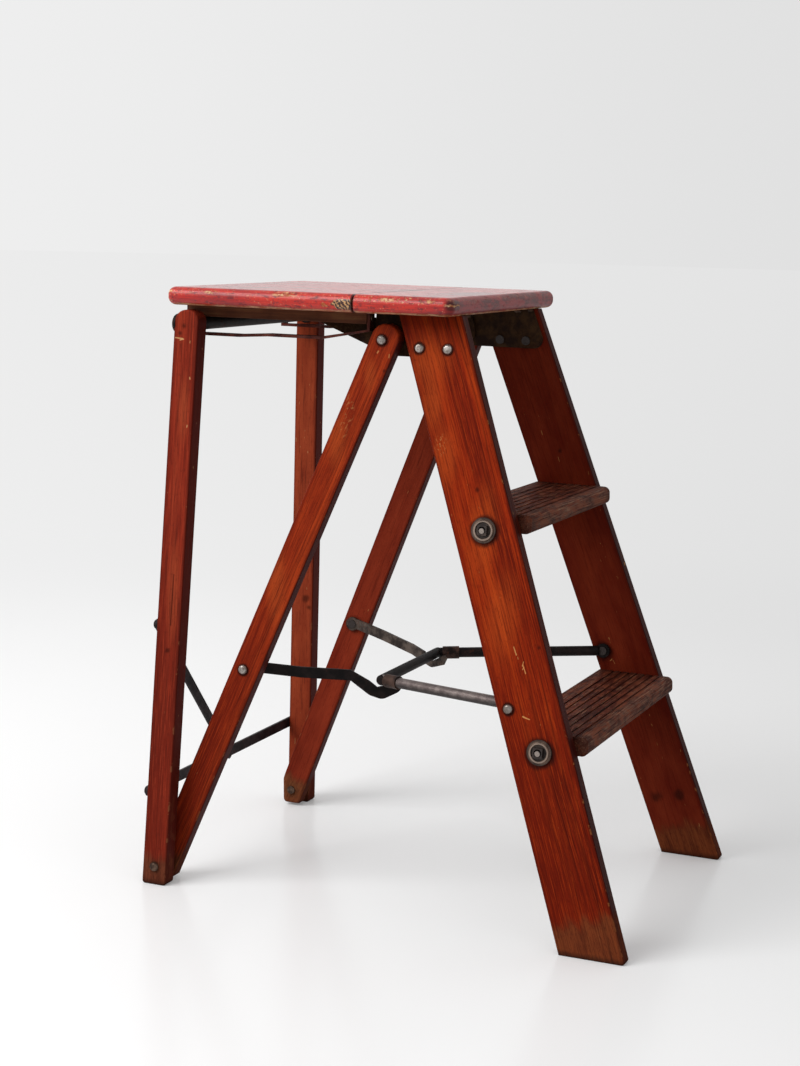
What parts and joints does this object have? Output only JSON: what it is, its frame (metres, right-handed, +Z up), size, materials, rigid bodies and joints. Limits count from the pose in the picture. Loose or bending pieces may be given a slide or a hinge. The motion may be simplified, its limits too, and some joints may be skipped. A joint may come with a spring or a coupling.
{
  "type": "folding step stool",
  "caption": "Wooden folding step stool with splayed front ladder frame, grooved treads, a divided square seat, hinged rear braces and legs, and an iron spreader.",
  "frame": {"origin": "bottom centre of the bounding box, on the floor under the stool", "axes": "+Z up; -Y towards the treads at the front; X across the stool, left is -X"},
  "size_m": [0.371, 0.521, 0.61],
  "materials": {
    "seat_paint": "worn glossy red paint",
    "stile_wood": "orange red stained softwood",
    "leg_wood": "brick red stained softwood",
    "brace_wood": "orange brown stained softwood",
    "tread_wood": "dark raw worn wood",
    "raw_wood": "dark raw wood",
    "rivet_steel": "dull bright steel",
    "rod_steel": "grey worn steel",
    "black_iron": "blackened iron"
  },
  "bodies": {
    "front_frame": {"bail_pivot_left": "rivet_steel", "bail_pivot_right": "rivet_steel", "bracket_rivets": "rivet_steel", "bracket_screws": "black_iron", "front_stile_left": "stile_wood", "front_stile_right": "stile_wood", "lower_tie_rod": "black_iron", "lower_tread": "tread_wood", "seat_front_board": "seat_paint", "tie_rod_nuts": "black_iron", "tie_rod_washers": "black_iron", "top_bracket_left": "black_iron", "top_bracket_right": "black_iron", "upper_tie_rod": "black_iron", "upper_tread": "tread_wood"},
    "rear_frame": {"arm_pivot_left": "rivet_steel", "arm_pivot_right": "rivet_steel", "axle_guide_left": "black_iron", "axle_guide_right": "black_iron", "main_pivot_left": "rivet_steel", "main_pivot_right": "rivet_steel", "pivot_washers": "black_iron", "rear_brace_left": "brace_wood", "rear_brace_right": "brace_wood", "seat_cleat_left": "raw_wood", "seat_cleat_right": "raw_wood", "seat_hinge_plate_left": "black_iron", "seat_hinge_plate_right": "black_iron", "seat_rear_board": "seat_paint", "seat_screws": "black_iron"},
    "rear_legs": {"axle_bolts": "black_iron", "axle_collars": "black_iron", "back_brace_bar": "black_iron", "back_brace_strut": "black_iron", "brace_bolts": "rivet_steel", "foot_pivot_left": "rivet_steel", "foot_pivot_right": "rivet_steel", "foot_spacers": "black_iron", "rear_axle": "black_iron", "rear_leg_left": "leg_wood", "rear_leg_right": "leg_wood"},
    "spreader_arms": {"spreader_arm_left": "black_iron", "spreader_arm_right": "black_iron"},
    "spreader_bail": {"spreader_cross_bar": "black_iron", "spreader_rod_left": "rod_steel", "spreader_rod_right": "rod_steel", "spreader_sleeve_left": "rod_steel", "spreader_sleeve_right": "rod_steel"}
  },
  "joints": [
    {"name": "fold", "type": "hinge", "parent": "front_frame", "child": "rear_frame", "pos_m": [0, 0.028, 0.566], "axis": [-1, 0, 0], "range_deg": [0, 34]},
    {"name": "leg_swing", "type": "hinge", "parent": "rear_frame", "child": "rear_legs", "pos_m": [0, 0.2435, 0.019], "axis": [1, 0, 0], "range_deg": [0, 4]},
    {"name": "arm_swing", "type": "hinge", "parent": "rear_frame", "child": "spreader_arms", "pos_m": [0, 0.163, 0.2278], "axis": [-1, 0, 0], "range_deg": [0, 67]},
    {"name": "bail_swing", "type": "hinge", "parent": "front_frame", "child": "spreader_bail", "pos_m": [0, -0.128, 0.225], "axis": [1, 0, 0], "range_deg": [0, 71]}
  ],
  "couplings": [
    {"joint": "arm_swing", "follows": "fold", "ratio": 1.96},
    {"joint": "bail_swing", "follows": "fold", "ratio": 2.07}
  ]
}
